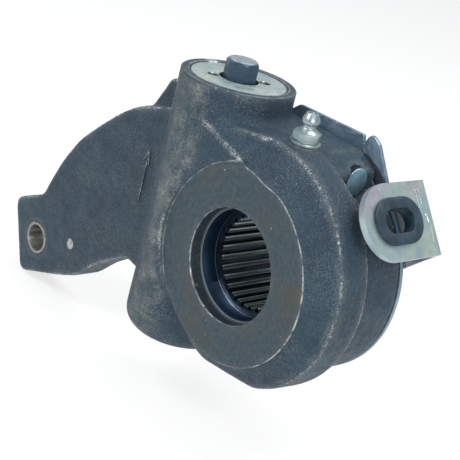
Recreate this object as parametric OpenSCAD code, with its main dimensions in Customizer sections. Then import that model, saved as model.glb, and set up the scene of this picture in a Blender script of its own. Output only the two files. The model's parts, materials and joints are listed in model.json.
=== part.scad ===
// Automatic brake slack adjuster: cast lever, worm drive and clearance-sensing control arm.
// Millimetres. Origin on the camshaft axis in the machined front face, Y to the rear, Z along the worm axis.

/* [Lever] */
// distance from the camshaft axis to the clevis eye
arm_len = 152.4; // [140:0.1:165]
// angle of the lever below the horizontal
arm_angle = 21.84; // [15:0.01:28]
// thickness of the lever
arm_thick = 16; // [13:0.5:20]
// half width of the eye end
eye_half = 17.2; // [14:0.2:20]
// lever length past the eye centre
eye_end = 16.9; // [13:0.1:20]
// outside diameter of the eye bush
bush_od = 15.88; // [14:0.01:18]
// bore of the eye bush
bush_id = 12.7; // [10:0.05:13.5]

/* [Housing] */
// radius of the worm tube
tube_r = 23.6; // [22.5:0.1:25]
// height of the tube rim above the camshaft axis
tube_top = 61.5; // [60:0.1:63]
// depth of the rounded tube end below the camshaft axis
tube_bot = 52; // [48:0.5:55]
// radius of the machined front face
face_r = 39; // [36:0.1:42]
// radius of the front flange
flange_r = 50.5; // [48:0.1:52]
// distance of the flange centre from the camshaft axis, away from the worm
flange_dx = 1.8; // [0:0.1:2.5]
// height of the flange centre above the camshaft axis
flange_dz = 2.6; // [1:0.1:4]
// distance of the flange crest behind the machined face
crest_y = 6.3; // [5:0.1:8]
// rear edge of the front flange
flange_y = 20.3; // [17:0.1:23]
// radius of the rear drum
drum_r = 46; // [42:0.1:47]
// rear face of the casting
rear_y = 45.5; // [45:0.1:48]
// radius of the front opening
front_hole_r = 22.7; // [20:0.1:24]

/* [Worm drive] */
// centre distance of worm and wheel
centre_dist = 40.2; // [40.2:0.05:40.6]
// distance of the worm axis behind the front face
worm_y = 21.6; // [21:0.1:22]
// axial module of the worm
worm_module = 2.4; // [2.3:0.01:2.42]
// number of wheel teeth
wheel_teeth = 24; // [24:1:24]
// face width of the wheel teeth
wheel_face = 14; // [10:0.5:15]
// clearance between worm and wheel flanks
worm_backlash = 0.4; // [0.3:0.02:0.6]
// width across flats of the adjusting hex
hex_af = 12; // [10:0.1:12.1]
// length of the hex above the cap
hex_len = 9; // [7:0.5:12]

/* [Spline] */
// number of splines in the wheel bore
spline_n = 28; // [20:1:36]
// radius at the bottom of the spline spaces
spline_major = 19.4; // [18.5:0.05:20.2]
// radius over the spline teeth
spline_minor = 17.6; // [16.5:0.05:18.2]
// radius of the plain counterbore in front of the splines
counter_r = 21.4; // [20.4:0.1:22.2]

/* [Clearance control] */
// module of the clutch gear and rack
rack_module = 1.75; // [1.7:0.01:1.78]
// number of clutch gear teeth
clutch_teeth = 13; // [13:1:13]
// height of the rack axis above the camshaft axis
rack_z = 41.2; // [41:0.1:41.4]
// radius of the rack rod
rack_r = 5.2; // [5:0.05:5.3]
// radius of the rack peg
peg_r = 2.6; // [2.2:0.05:2.8]
// direction of the control arm above the horizontal
control_angle = 39; // [32:0.5:48]
// distance of the tab's outer face from the camshaft axis
tab_dist = 61.6; // [58:0.1:66]
// width of the control arm tab
tab_w = 28.8; // [25:0.2:32]
// length of the tab forward of the control arm plate
tab_len = 40; // [36:0.5:43]
// thickness of the control arm plate
control_thick = 2.5; // [2:0.1:3]
// width of the slot in the arm bush
slot_w = 8.9; // [8:0.1:9.4]
// length of the slot in the arm bush
slot_len = 16; // [13:0.5:17]

/* [Cover] */
// thickness of the gasket
gasket_t = 0.8; // [0.5:0.1:1.2]
// thickness of the cover plate
cover_t = 1.8; // [1.5:0.1:2.2]
// height of the top edge of the cover plate
cover_top = 54.7; // [53:0.1:57]

/* [Hidden] */
$fn = 96;
fit = 0.05;
gap = 0.3;
wx = -centre_dist;
wy = worm_y;
arm_y0 = worm_y - arm_thick / 2;
arm_y1 = worm_y + arm_thick / 2;
arm_dir = [-cos(arm_angle), -sin(arm_angle)];
arm_up = [-sin(arm_angle), cos(arm_angle)];
eye = arm_len * arm_dir;
lead = PI * worm_module;
wheel_rp = worm_module * wheel_teeth / 2;
wheel_tip = wheel_rp + worm_module;
wheel_root = wheel_rp - 1.2 * worm_module;
worm_rp = centre_dist - wheel_rp;
worm_tip = worm_rp + worm_module;
worm_core = worm_rp - 1.2 * worm_module;
lead_angle = atan(lead / (2 * PI * worm_rp));
worm_half = 14;
washer_z0 = -worm_half - 3.5;
washer_z1 = -worm_half - 0.4;
seat_z1 = washer_z0 - 0.1;
bore_r = 17;
bore_bot = -38;
shaft_r = 7;
cap_r = 19.2;
cap_bot = tube_top - 9;
cap_top = tube_top - 1.5;
gear_rp = rack_module * clutch_teeth / 2;
gear_z0 = rack_z - 5.2;
gear_z1 = rack_z + 5.8;
sleeve_r = 9.6;
rack_pitch_y = wy + gear_rp;
rack_y = rack_pitch_y + 3.55;
rack_step = PI * rack_module;
rack_x0 = -55;
rack_x1 = 8;
rack_end_x = 19.9;
plug_x0 = 16;
plug_x1 = 19.5;
hub_y0 = 5.5;
journal_r = 26;
hub_r = 24.5;
sleeve_od = hub_r + 5;
seal_r = sleeve_od + 1.65;
arm_ring_r = sleeve_od + 4;
drum_wall = 9;
recess_r = drum_r - drum_wall;
disc_r = recess_r - 0.5;
screw_pcr = (recess_r + drum_r + 1.3) / 2;
hub_y1 = rear_y + 9.5;
counter_y = 13.3;
disc_y0 = rack_y + rack_r + 0.4;
disc_y1 = rear_y - 0.4;
cover_y0 = rear_y + gasket_t;
cover_y1 = cover_y0 + cover_t;
plate_y0 = cover_y1 + 0.9;
plate_y1 = plate_y0 + control_thick;
screw_angles = [-15, -70, -125, 180];
top_screw = [-28, 45.4];
rivet_n = 6;
rivet_pcr = (hub_r + sleeve_od) / 2;
tab_c = plate_y1 - tab_len + tab_w / 2;
slot_c = tab_c + 3.1;
bush_len = slot_len + 3.4;
bush_wide = slot_w + 4.5;
bend_r = control_thick + 1.2;
bend_x = tab_dist - bend_r - 0.5;
bend_y = plate_y1 - bend_r - 0.5;
flat_tilt = [-27.7, -7.1, 0];
flat_rise = 6.5;
nipple_x = 7.4;
nipple_y = 15.4;
nipple_z = flange_r + flange_dz - 0.1;

// Shared helpers

module ycyl(r, y0, y1) {
    translate([0, y0, 0]) rotate([-90, 0, 0]) cylinder(r = r, h = y1 - y0);
}

module ycone(ra, rb, y0, y1) {
    translate([0, y0, 0]) rotate([-90, 0, 0]) cylinder(r1 = ra, r2 = rb, h = y1 - y0);
}

module yring(ro, ri, y0, y1) {
    difference() {
        ycyl(ro, y0, y1);
        ycyl(ri, y0 - 1, y1 + 1);
    }
}

module slab(y0, y1) {
    translate([0, y1, 0]) rotate([90, 0, 0]) linear_extrude(y1 - y0) children();
}

module worm_frame() {
    translate([wx, wy, 0]) children();
}

module zcyl(r, z0, z1) {
    translate([0, 0, z0]) cylinder(r = r, h = z1 - z0);
}

module zring(ro, ri, z0, z1) {
    difference() {
        zcyl(ro, z0, z1);
        zcyl(ri, z0 - 1, z1 + 1);
    }
}

module rack_frame() {
    translate([0, rack_y, rack_z]) rotate([0, 90, 0]) children();
}

module cover_screw_places() {
    for (a = screw_angles) translate([screw_pcr * cos(a), 0, screw_pcr * sin(a)]) children();
    translate([top_screw[0], 0, top_screw[1]]) children();
}

function unit(v) = v / norm(v);

// Largest radius about the worm axis that clears the wheel at height z
function wheel_clear(z) = centre_dist - sqrt(pow(wheel_tip, 2) - z * z) - gap;

// One rounded corner: b is the corner with radius r, a and c its neighbours
function corner(a, b, c, r, n = 10) =
    let (u = unit(a - b), v = unit(c - b), h = acos(u * v) / 2)
    r <= 0 || h > 89.5 ? [b] :
    let (m = b + unit(u + v) * r / sin(h), s = b + u * r / tan(h), e = b + v * r / tan(h))
    let (a0 = atan2(s[1] - m[1], s[0] - m[0]), a1 = atan2(e[1] - m[1], e[0] - m[0]))
    let (d = a1 - a0 > 180 ? a1 - a0 - 360 : a1 - a0 < -180 ? a1 - a0 + 360 : a1 - a0)
    [for (i = [0:n]) m + r * [cos(a0 + d * i / n), sin(a0 + d * i / n)]];

function rounded(p) = [for (i = [0:len(p) - 1])
    let (q = p[(i + len(p) - 1) % len(p)], w = p[(i + 1) % len(p)])
    for (k = corner([q[0], q[1]], [p[i][0], p[i][1]], [w[0], w[1]], p[i][2])) k];

// Closed sweep of a profile along a helix about Z, as triangles
module helix(prof, pitch, turns, steps) {
    m = len(prof);
    n = round(turns * steps);
    pts = [for (i = [0:n]) for (p = prof)
        [p[0] * cos(360 * i / steps), p[0] * sin(360 * i / steps), p[1] + pitch * i / steps]];
    walls = [for (i = [0:n - 1]) for (j = [0:m - 1])
        let (a = i * m + j, b = i * m + (j + 1) % m)
        for (t = [[a, b, b + m], [a, b + m, a + m]]) t];
    first = [[for (j = [0:m - 1]) m - 1 - j]];
    last = [[for (j = [0:m - 1]) n * m + j]];
    polyhedron(pts, concat(walls, first, last));
}

function circle_prof(rm, rw, n) = [for (i = [0:n - 1]) [rm + rw * cos(360 * i / n), rw * sin(360 * i / n)]];

function involute(a) = tan(a) * 180 / PI - a;
function inv_at(rb, r) = r <= rb ? 0 : involute(acos(rb / r));

// Half tooth angle of a 20 degree involute tooth at radius r
function half_angle(n, rp, r, slack) =
    90 / n - slack / (4 * rp) * 180 / PI + involute(20) - inv_at(rp * cos(20), r);

function tooth(n, rp, r0, r1, slack, k = 6) =
    let (rs = [for (i = [0:k]) r0 + (r1 - r0) * i / k])
    concat([for (r = rs) r * [cos(half_angle(n, rp, r, slack)), -sin(half_angle(n, rp, r, slack))]],
        [for (i = [0:k]) let (r = rs[k - i], h = half_angle(n, rp, r, slack)) r * [cos(h), sin(h)]]);

// Cast lever and housing

// Point in the eye's own frame: u along the lever, v across it
function at_eye(u, v, r) = let (q = eye + u * arm_dir + v * arm_up) [q[0], q[1], r];

function arm_outline() = rounded([
    [wx - 8, 43, 0],
    [wx - 22, 40.6, 0],
    at_eye(-84.1, 62.3, 40),
    at_eye(-70, 59.4, 50),
    at_eye(-55.2, 54.3, 50),
    at_eye(-39.3, 48.1, 50),
    at_eye(-25.1, 38.4, 50),
    at_eye(-13.5, 28, 0),
    at_eye(-6.9, eye_half + 3.9, 10),
    at_eye(eye_end, eye_half + 2.2, 5),
    at_eye(eye_end, -eye_half, 4.5),
    at_eye(-14.7, -eye_half + 0.1, 50),
    at_eye(-29.6, -eye_half + 0.9, 20),
    at_eye(-45.7, -eye_half + 7.4, 30),
    [wx - 35.3, -34.6, 6],
    [wx - 8, -38, 0]]);

module tube_body() {
    worm_frame() rotate_extrude() polygon(rounded([
        [0, -tube_bot, 0],
        [tube_r + 0.6, -tube_bot, 7],
        [tube_r, -tube_bot + 26, 0],
        [tube_r, tube_top, 0.8],
        [0, tube_top, 0]]));
}

// Drum and front flange, which has a flat on its underside towards the tube
module drum_body() {
    rotate([-90, 0, 0]) rotate_extrude() polygon(rounded([
        [0, 0, 0],
        [face_r, 0, 0.4],
        [face_r + 0.6, 6, 0],
        [drum_r - 1, flange_y - 4, 0],
        [drum_r, rear_y, 0],
        [0, rear_y, 0]]));
    translate([flange_dx, 0, flange_dz]) difference() {
        rotate([-90, 0, 0]) rotate_extrude() polygon(rounded([
            [0, 0.6, 0],
            [face_r - 1.8, 0.6, 0],
            [flange_r - 0.9, crest_y, 1.2],
            [flange_r, flange_y, 1.2],
            [0, flange_y, 0]]));
        translate([0, 0, flat_rise - flange_r]) rotate(flat_tilt) translate([-45, -30, -30]) cube([90, 80, 30]);
    }
}

// Cast web between the tube and the machined face, with its crest on the front
module shoulder() {
    crest = [[wx + 7, 47.2], [-8, face_r + 1.3]];
    top = [[wx + 7, 49], [-13, flange_r - 0.1], [-1, flange_r + flange_dz - 0.9]];
    low = [wx + 7, 22];
    y0 = 0.4;
    y1 = 5;
    y2 = worm_y - 3;
    polyhedron([
        [crest[0][0], y0, crest[0][1]],
        [crest[1][0], y0, crest[1][1]],
        [low[0], y0, low[1]],
        [top[0][0], y1, top[0][1]],
        [top[1][0], y1, top[1][1]],
        [top[2][0], y1, top[2][1]],
        [top[0][0], y2, top[0][1]],
        [top[1][0], y2, top[1][1]],
        [top[2][0], y2, top[2][1]],
        [crest[1][0], y2, crest[1][1]],
        [low[0], y2, low[1]]],
        [[0, 1, 2], [0, 3, 4], [0, 4, 1], [1, 4, 5], [3, 6, 7, 4], [4, 7, 8, 5],
        [1, 5, 8, 9], [2, 1, 9, 10], [0, 2, 10, 6, 3], [6, 10, 9, 8, 7]]);
}

module rack_body() {
    slab(worm_y - 4, rear_y) polygon(rounded([
        [wx - 22, 22, 4],
        [wx - 22, 50.5, 7],
        [10, 50.5, 8],
        [rack_end_x, 45, 3],
        [rack_end_x, 22, 0]]));
}

module rear_lug() {
    slab(arm_y1 - 5, arm_y1) polygon(rounded([
        [wx - 12, 48.8, 0],
        [wx - 42.6, 46.5, 4],
        [wx - 52, 29, 0],
        [wx - 12, 20, 0]]));
}

module housing_bores() {
    worm_frame() zcyl(bore_r, bore_bot, cap_bot - 2);
    worm_frame() zcyl(cap_r + fit, cap_bot - 2.01, tube_top + 1);
    worm_frame() translate([0, 0, tube_top - 1]) cylinder(r1 = cap_r, r2 = cap_r + 1.6, h = 1.6);
    ycyl(front_hole_r, -6, 20);
    ycyl(journal_r + fit, hub_y0 - gap, 20);
    ycyl(journal_r + 2.4, 7, 10);
    ycyl(wheel_tip + 0.6, 13, rear_y + 1);
    ycyl(recess_r, disc_y0 - 0.8, rear_y + 1);
    ycyl(face_r + 0.6, -8, 0);
    translate([-13, disc_y0 - 0.8, 20]) cube([28.3, rear_y, 26.8]);
    translate([-6.2, rack_y, rack_z - 3.2]) cube([18, rear_y - rack_y + 1, 6.4]);
    rack_frame() zcyl(rack_r + fit, rack_x0 - 4, plug_x0 + 1);
    rack_frame() zcyl(rack_r + 0.45, plug_x0, plug_x1 + 2);
    rack_frame() zcyl(rack_r + 2, plug_x1, 60);
    translate([eye[0], 0, eye[1]]) ycyl(bush_od / 2, arm_y0 - 1, arm_y1 + 1);
    cover_screw_places() ycyl(1.95, rear_y - 3.8, rear_y + 1);
    translate([nipple_x, nipple_y, 30]) cylinder(r = 3.05, h = 40);
}

module housing() {
    color([0.2, 0.22, 0.25]) difference() {
        union() {
            tube_body();
            drum_body();
            rack_body();
            rear_lug();
            shoulder();
            slab(arm_y0, arm_y1) polygon(arm_outline());
            translate([nipple_x, nipple_y, 40]) cylinder(r = 6.3, h = nipple_z - 40);
        }
        housing_bores();
    }
}

module eye_bush() {
    color([0.72, 0.6, 0.38]) translate([eye[0], 0, eye[1]]) difference() {
        ycyl(bush_od / 2, arm_y0 - 0.3, arm_y1 + 0.3);
        ycyl(bush_id / 2, arm_y0 - 2, arm_y1 + 2);
    }
}

module front_seal() {
    color([0.08, 0.08, 0.09]) yring(journal_r + 2.35, journal_r + fit, 7.05, 9.95);
}

// Worm wheel with splined hub

function spline_ring() = [for (i = [0:spline_n - 1]) let (p = 360 / spline_n, a = i * p)
    for (k = [[spline_minor, -0.24], [spline_major, -0.3], [spline_major, 0.3], [spline_minor, 0.24]])
        k[0] * [cos(a + k[1] * p * (k[0] == spline_major ? 0.72 : 1.16)),
            sin(a + k[1] * p * (k[0] == spline_major ? 0.72 : 1.16))]];

module worm_wheel() {
    color([0.5, 0.47, 0.42]) difference() {
        union() {
            ycyl(journal_r, hub_y0, 12.7);
            ycyl(wheel_root, 12, 31);
            ycyl(hub_r, 30, hub_y1);
            for (i = [0:wheel_teeth - 1]) rotate([0, 180 + (i + 0.5) * 360 / wheel_teeth, 0])
                translate([0, worm_y, 0]) rotate([-lead_angle, 0, 0]) slab(-wheel_face / 2, wheel_face / 2)
                    polygon(tooth(wheel_teeth, wheel_rp, wheel_root - 0.8, wheel_tip, worm_backlash));
        }
        ycyl(counter_r, hub_y0 - 1, counter_y);
        ycone(counter_r + 0.8, counter_r, hub_y0 - 0.01, hub_y0 + 0.8);
        slab(counter_y - 1, hub_y1 + 1) polygon(spline_ring());
        ycone(spline_minor, spline_major + 0.6, hub_y1 - 1.6, hub_y1 + 0.1);
        difference() {
            ycyl(hub_r + 1, plate_y1 + 0.4, plate_y1 + 2);
            ycyl(hub_r - 1.2, plate_y1, plate_y1 + 3);
        }
    }
}

module retaining_ring() {
    color([0.3, 0.3, 0.32]) difference() {
        yring(hub_r + 2.6, hub_r - 1.15, plate_y1 + 0.45, plate_y1 + 1.95);
        translate([-2.5, plate_y1, -40]) cube([5, 4, 40]);
    }
}

// Worm shaft and adjusting clutch

module worm_shaft() {
    color([0.16, 0.17, 0.2]) worm_frame() {
        hr = lead / 4 - worm_backlash / 4;
        embed = 0.6;
        root_half = hr + (worm_rp - worm_core + embed) * tan(20);
        turns = floor(8 * (worm_half - root_half) / lead) / 4;
        base = -turns * lead / 2;
        zcyl(worm_core, -worm_half, worm_half);
        rotate([0, 0, -180 * turns]) translate([0, 0, base]) helix([
            [worm_core - embed, -root_half],
            [worm_tip, -hr + worm_module * tan(20)],
            [worm_tip, hr - worm_module * tan(20)],
            [worm_core - embed, root_half]], lead, turns, 24);
        zcyl(6, -33, -worm_half + 1);
        zcyl(shaft_r, worm_half - 1, cap_top - 0.6);
        intersection() {
            zcyl(hex_af / sqrt(3), cap_top - 1, cap_top + hex_len);
            rotate([0, 0, 30]) translate([0, 0, cap_top - 1])
                cylinder(r = hex_af / sqrt(3), h = hex_len + 1, $fn = 6);
            translate([0, 0, cap_top - 1])
                cylinder(r1 = hex_af / 2 + hex_len + 0.6, r2 = hex_af / 2 - 0.4, h = hex_len + 1);
        }
    }
}

module clutch_hub() {
    color([0.45, 0.45, 0.47]) worm_frame() difference() {
        union() {
            translate([0, 0, 15]) cylinder(r1 = 11, r2 = 14, h = 4);
            zcyl(14, 19, 23);
            zcyl(sleeve_r, 22, 29.2);
        }
        zcyl(shaft_r + 0.02, 10, 40);
        for (i = [0:23]) rotate([0, 0, i * 15]) translate([13.4, -0.7, 14]) cube([3, 1.4, 10]);
    }
}

module wrap_spring() {
    color([0.62, 0.63, 0.66]) worm_frame() translate([0, 0, 24.4]) helix(
        [[10, -0.65], [11.4, -0.65], [11.4, 0.65], [10, 0.65]], 1.75, 5.5, 20);
}

module clutch_gear() {
    color([0.5, 0.5, 0.52]) worm_frame() difference() {
        union() {
            zcyl(sleeve_r, 29.5, gear_z0 + 0.5);
            zcyl(gear_rp - 1.25 * rack_module, gear_z0, gear_z1);
            for (i = [0:clutch_teeth - 1]) rotate([0, 0, 90 + i * 360 / clutch_teeth])
                translate([0, 0, gear_z0]) linear_extrude(gear_z1 - gear_z0) polygon(tooth(clutch_teeth,
                    gear_rp, gear_rp - 1.25 * rack_module - 0.5, gear_rp + 0.95 * rack_module, 0.3));
        }
        zcyl(shaft_r + 0.06, 20, 60);
    }
}

module clutch_spring() {
    color([0.35, 0.36, 0.38]) worm_frame() translate([0, 0, bore_bot + 1.95])
        helix(circle_prof(11.5, 1.75, 10), 4.6, 3, 20);
}

module spring_seat() {
    color([0.55, 0.55, 0.55]) worm_frame() difference() {
        union() {
            zcyl(wheel_clear(seat_z1), seat_z1 - 2.6, seat_z1);
            zcyl(9.2, seat_z1 - 5.4, seat_z1);
        }
        zcyl(6.4, -30, -10);
    }
}

module thrust_washer() {
    color([0.7, 0.62, 0.4]) worm_frame() zring(wheel_clear(washer_z1), 6.4, washer_z0, washer_z1);
}

module top_spacer() {
    color([0.6, 0.6, 0.6]) worm_frame() zring(10.2, shaft_r + 0.06, gear_z1 + 0.3, cap_bot - 0.1);
}

module worm_cap() {
    color([0.62, 0.65, 0.62]) worm_frame() difference() {
        union() {
            zcyl(cap_r, cap_bot, cap_top - 0.8);
            translate([0, 0, cap_top - 0.8]) cylinder(r1 = cap_r, r2 = cap_r - 0.8, h = 0.8);
        }
        zcyl(shaft_r + 0.06, 40, 70);
        zcyl(8.1, cap_top - 3, 70);
        for (s = [-1, 1]) translate([s * 5.4, s * 9.1, cap_top - 4]) cylinder(r = 2.5, h = 5);
    }
}

module cap_seal() {
    color([0.07, 0.07, 0.08]) worm_frame() zring(8.05, shaft_r + 0.06, cap_top - 2.95, cap_top - 1);
}

// Rack driven by the control disc

function rack_space() = let (h = rack_step / 4 + 0.075, d = 2.1, t = 3) [
    [-h + d * tan(20), d],
    [-h - t * tan(20), -t],
    [h + t * tan(20), -t],
    [h - d * tan(20), d]];

module rivet_places() {
    for (i = [0:rivet_n - 1]) rotate([0, i * 360 / rivet_n, 0]) translate([rivet_pcr, 0, 0]) children();
}

module rack() {
    color([0.42, 0.42, 0.44]) {
        difference() {
            union() {
                rack_frame() zcyl(rack_r, rack_x0, rack_x1);
                translate([0, 0, rack_z]) ycyl(peg_r, rack_y + 3.6, disc_y1 - 0.3);
            }
            rack_frame() zcyl(3.2, -8, rack_x1 + 1);
            translate([rack_x0 - 1, rack_y - 8, rack_z - 10]) cube([45, 8 + rack_pitch_y - rack_y - 1.3, 20]);
            for (k = [-3:4]) translate([wx + k * rack_step, rack_pitch_y, rack_z - 10])
                linear_extrude(20) polygon(rack_space());
        }
    }
}

module rack_spring() {
    color([0.6, 0.6, 0.62]) rack_frame() translate([0, 0, -7.2])
        helix(circle_prof(2.4, 0.45, 6), 2.75, 8, 16);
}

module rack_plug() {
    color([0.4, 0.47, 0.53]) rack_frame() zcyl(rack_r + 0.4, plug_x0 + 0.05, plug_x1);
}

module control_disc() {
    color([0.5, 0.5, 0.5]) difference() {
        union() {
            ycyl(disc_r, disc_y0, disc_y1);
            ycyl(sleeve_od, disc_y0, plate_y0);
            slab(disc_y0, disc_y1) polygon([[-7, 20], [7, 20], [7, 45.4], [-7, 45.4]]);
        }
        ycyl(hub_r + 0.08, disc_y0 - 1, plate_y0 + 1);
        translate([-peg_r - gap, disc_y0 - 1, 37.6]) cube([2 * (peg_r + gap), disc_y1 - disc_y0 + 2, 20]);
        rivet_places() ycyl(1.42, plate_y0 - 5, plate_y0 + 1);
    }
}

module tab_plane() {
    rotate([0, -control_angle, 0]) children();
}

module tab_face() {
    tab_plane() translate([tab_dist, 0, 0]) rotate([90, 0, 90]) children();
}

module bush_shape(r, flat) {
    intersection() {
        circle(r = r);
        square([4 * r, 2 * flat], center = true);
    }
}

module tab_outline() {
    translate([tab_c, 0]) circle(r = tab_w / 2);
    translate([tab_c, -tab_w / 2]) square([bend_y - tab_c, tab_w]);
}

// Bent corner between plate and tab
module tab_bend() {
    tab_plane() translate([0, 0, -tab_w / 2]) linear_extrude(tab_w) polygon(rounded([
        [bend_x - 1, plate_y0, 0],
        [tab_dist - control_thick, plate_y0, bend_r - control_thick],
        [tab_dist - control_thick, bend_y - 1, 0],
        [tab_dist, bend_y - 1, 0],
        [tab_dist, plate_y1, bend_r],
        [bend_x - 1, plate_y1, 0]]));
}

module control_arm() {
    color([0.66, 0.68, 0.62]) difference() {
        union() {
            ycyl(arm_ring_r, plate_y0, plate_y1);
            tab_plane() slab(plate_y0, plate_y1) polygon(rounded([
                [0, -22, 0],
                [30, -tab_w / 2 - 2, 20],
                [bend_x, -tab_w / 2, 0],
                [bend_x, tab_w / 2, 0],
                [30, tab_w / 2 + 2, 20],
                [0, 22, 0]]));
            tab_face() translate([0, 0, -control_thick]) linear_extrude(control_thick) tab_outline();
            tab_bend();
        }
        ycyl(hub_r + 0.6, plate_y0 - 1, plate_y1 + 1);
        tab_face() translate([slot_c, 0, -6]) linear_extrude(10)
            bush_shape(bush_len / 2 + fit, bush_wide / 2 + fit);
        rivet_places() ycyl(1.42, plate_y0 - 5, plate_y1 + 1);
    }
}

module arm_rivets() {
    color([0.7, 0.7, 0.68]) rivet_places() {
        ycyl(1.4, plate_y0 - 4.9, plate_y1);
        ycone(1.4, 1.1, plate_y1, plate_y1 + 0.3);
    }
}

module arm_bush() {
    color([0.07, 0.07, 0.08]) tab_face() translate([slot_c, 0, 0]) difference() {
        union() {
            translate([0, 0, 0.02]) linear_extrude(1.6) bush_shape(bush_len / 2 + 2.2, bush_wide / 2 + 2);
            translate([0, 0, -control_thick - 0.02])
                linear_extrude(control_thick + 0.5) bush_shape(bush_len / 2, bush_wide / 2);
            translate([0, 0, -control_thick - 1.4]) linear_extrude(1.38)
                bush_shape(bush_len / 2 + 1.6, bush_wide / 2 + 1.6);
        }
        translate([0, 0, -10]) linear_extrude(20) {
            square([slot_len - slot_w, slot_w], center = true);
            for (s = [-1, 1]) translate([s * (slot_len - slot_w) / 2, 0]) circle(r = slot_w / 2);
        }
    }
}

// Rear cover

module cover_top_shape() {
    polygon(rounded([
        [-drum_r + 5.3, 20, 0],
        [-drum_r + 9, cover_top - 8.2, 2],
        [-drum_r + 13.1, cover_top - 4.5, 2],
        [-drum_r + 18.7, cover_top, 1.5],
        [8.2, cover_top + 1, 0.6],
        [9.6, cover_top - 2.8, 0.3],
        [10.8, cover_top + 0.8, 0.3],
        [12.2, cover_top + 2.3, 0.6],
        [13.9, cover_top + 2, 0.8],
        [16.9, cover_top + 0.2, 2],
        [25.8, cover_top - 12.3, 3],
        [drum_r - 5.3, 20, 0]]));
}

module gasket() {
    color([0.05, 0.05, 0.06]) difference() {
        union() {
            ycyl(drum_r - 0.2, rear_y, cover_y0);
            slab(rear_y, cover_y0) polygon(rounded([
                [-drum_r + 6.3, 20, 0],
                [-drum_r + 11.3, 49.5, 3],
                [13.5, 49.5, 3],
                [20.5, 46.3, 3],
                [25, 42.7, 3],
                [drum_r - 5.5, 20, 0]]));
        }
        ycyl(recess_r + 0.5, rear_y - 1, cover_y0 + 1);
        translate([-12.5, rear_y - 1, 20]) cube([27.5, 3 + gasket_t, 26.4]);
        cover_screw_places() ycyl(2, rear_y - 1, cover_y0 + 1);
    }
}

module cover_plate() {
    color([0.5, 0.56, 0.62]) difference() {
        union() {
            ycyl(drum_r, cover_y0, cover_y1);
            slab(cover_y0, cover_y1) cover_top_shape();
        }
        ycyl(seal_r + fit, cover_y0 - 1, cover_y1 + 1);
        cover_screw_places() ycyl(2, cover_y0 - 1, cover_y1 + 1);
    }
}

module cover_screws() {
    color([0.6, 0.6, 0.58]) cover_screw_places() {
        ycyl(1.9, rear_y - 3.6, cover_y1 + 0.5);
        difference() {
            ycyl(3.3, cover_y1, cover_y1 + 0.8);
            slab(cover_y1 + 0.35, cover_y1 + 2) circle(r = 1.5, $fn = 6);
        }
    }
}

module rear_seal() {
    color([0.06, 0.06, 0.07]) yring(seal_r, sleeve_od + 0.08, cover_y0, cover_y1);
}

// Grease nipple

module grease_nipple() {
    color([0.75, 0.76, 0.72]) translate([nipple_x, nipple_y, nipple_z]) difference() {
        union() {
            zcyl(3, -7, 2);
            translate([0, 0, 1.25]) cylinder(r = 5.7, h = 3.4, $fn = 6);
            translate([0, 0, 4.6]) cylinder(r1 = 4.7, r2 = 2.6, h = 1.7);
            zcyl(2.6, 6.2, 7.6);
            translate([0, 0, 7.5]) cylinder(r1 = 2.6, r2 = 3.4, h = 0.7);
            zcyl(3.4, 8.19, 9.6);
            translate([0, 0, 9.59]) cylinder(r1 = 3.4, r2 = 2.2, h = 2.4);
        }
        zcyl(0.9, -8, 20);
        zcyl(1.35, 9.8, 20);
    }
}

module nipple_washer() {
    color([0.7, 0.72, 0.72]) translate([nipple_x, nipple_y, nipple_z]) zring(5.9, 3.05, 0, 1.2);
}

module nipple_ball() {
    color([0.8, 0.8, 0.8]) translate([nipple_x, nipple_y, nipple_z + 11.1]) sphere(r = 1.25);
}

housing();
eye_bush();
front_seal();
worm_wheel();
retaining_ring();
worm_shaft();
clutch_hub();
wrap_spring();
clutch_gear();
clutch_spring();
spring_seat();
thrust_washer();
top_spacer();
worm_cap();
cap_seal();
rack();
rack_spring();
rack_plug();
control_disc();
control_arm();
arm_rivets();
arm_bush();
gasket();
cover_plate();
cover_screws();
rear_seal();
grease_nipple();
nipple_washer();
nipple_ball();
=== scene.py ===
import json
import math

import bmesh
import bpy
import numpy as np
from mathutils import Matrix, Vector
from mathutils.bvhtree import BVHTree

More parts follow.
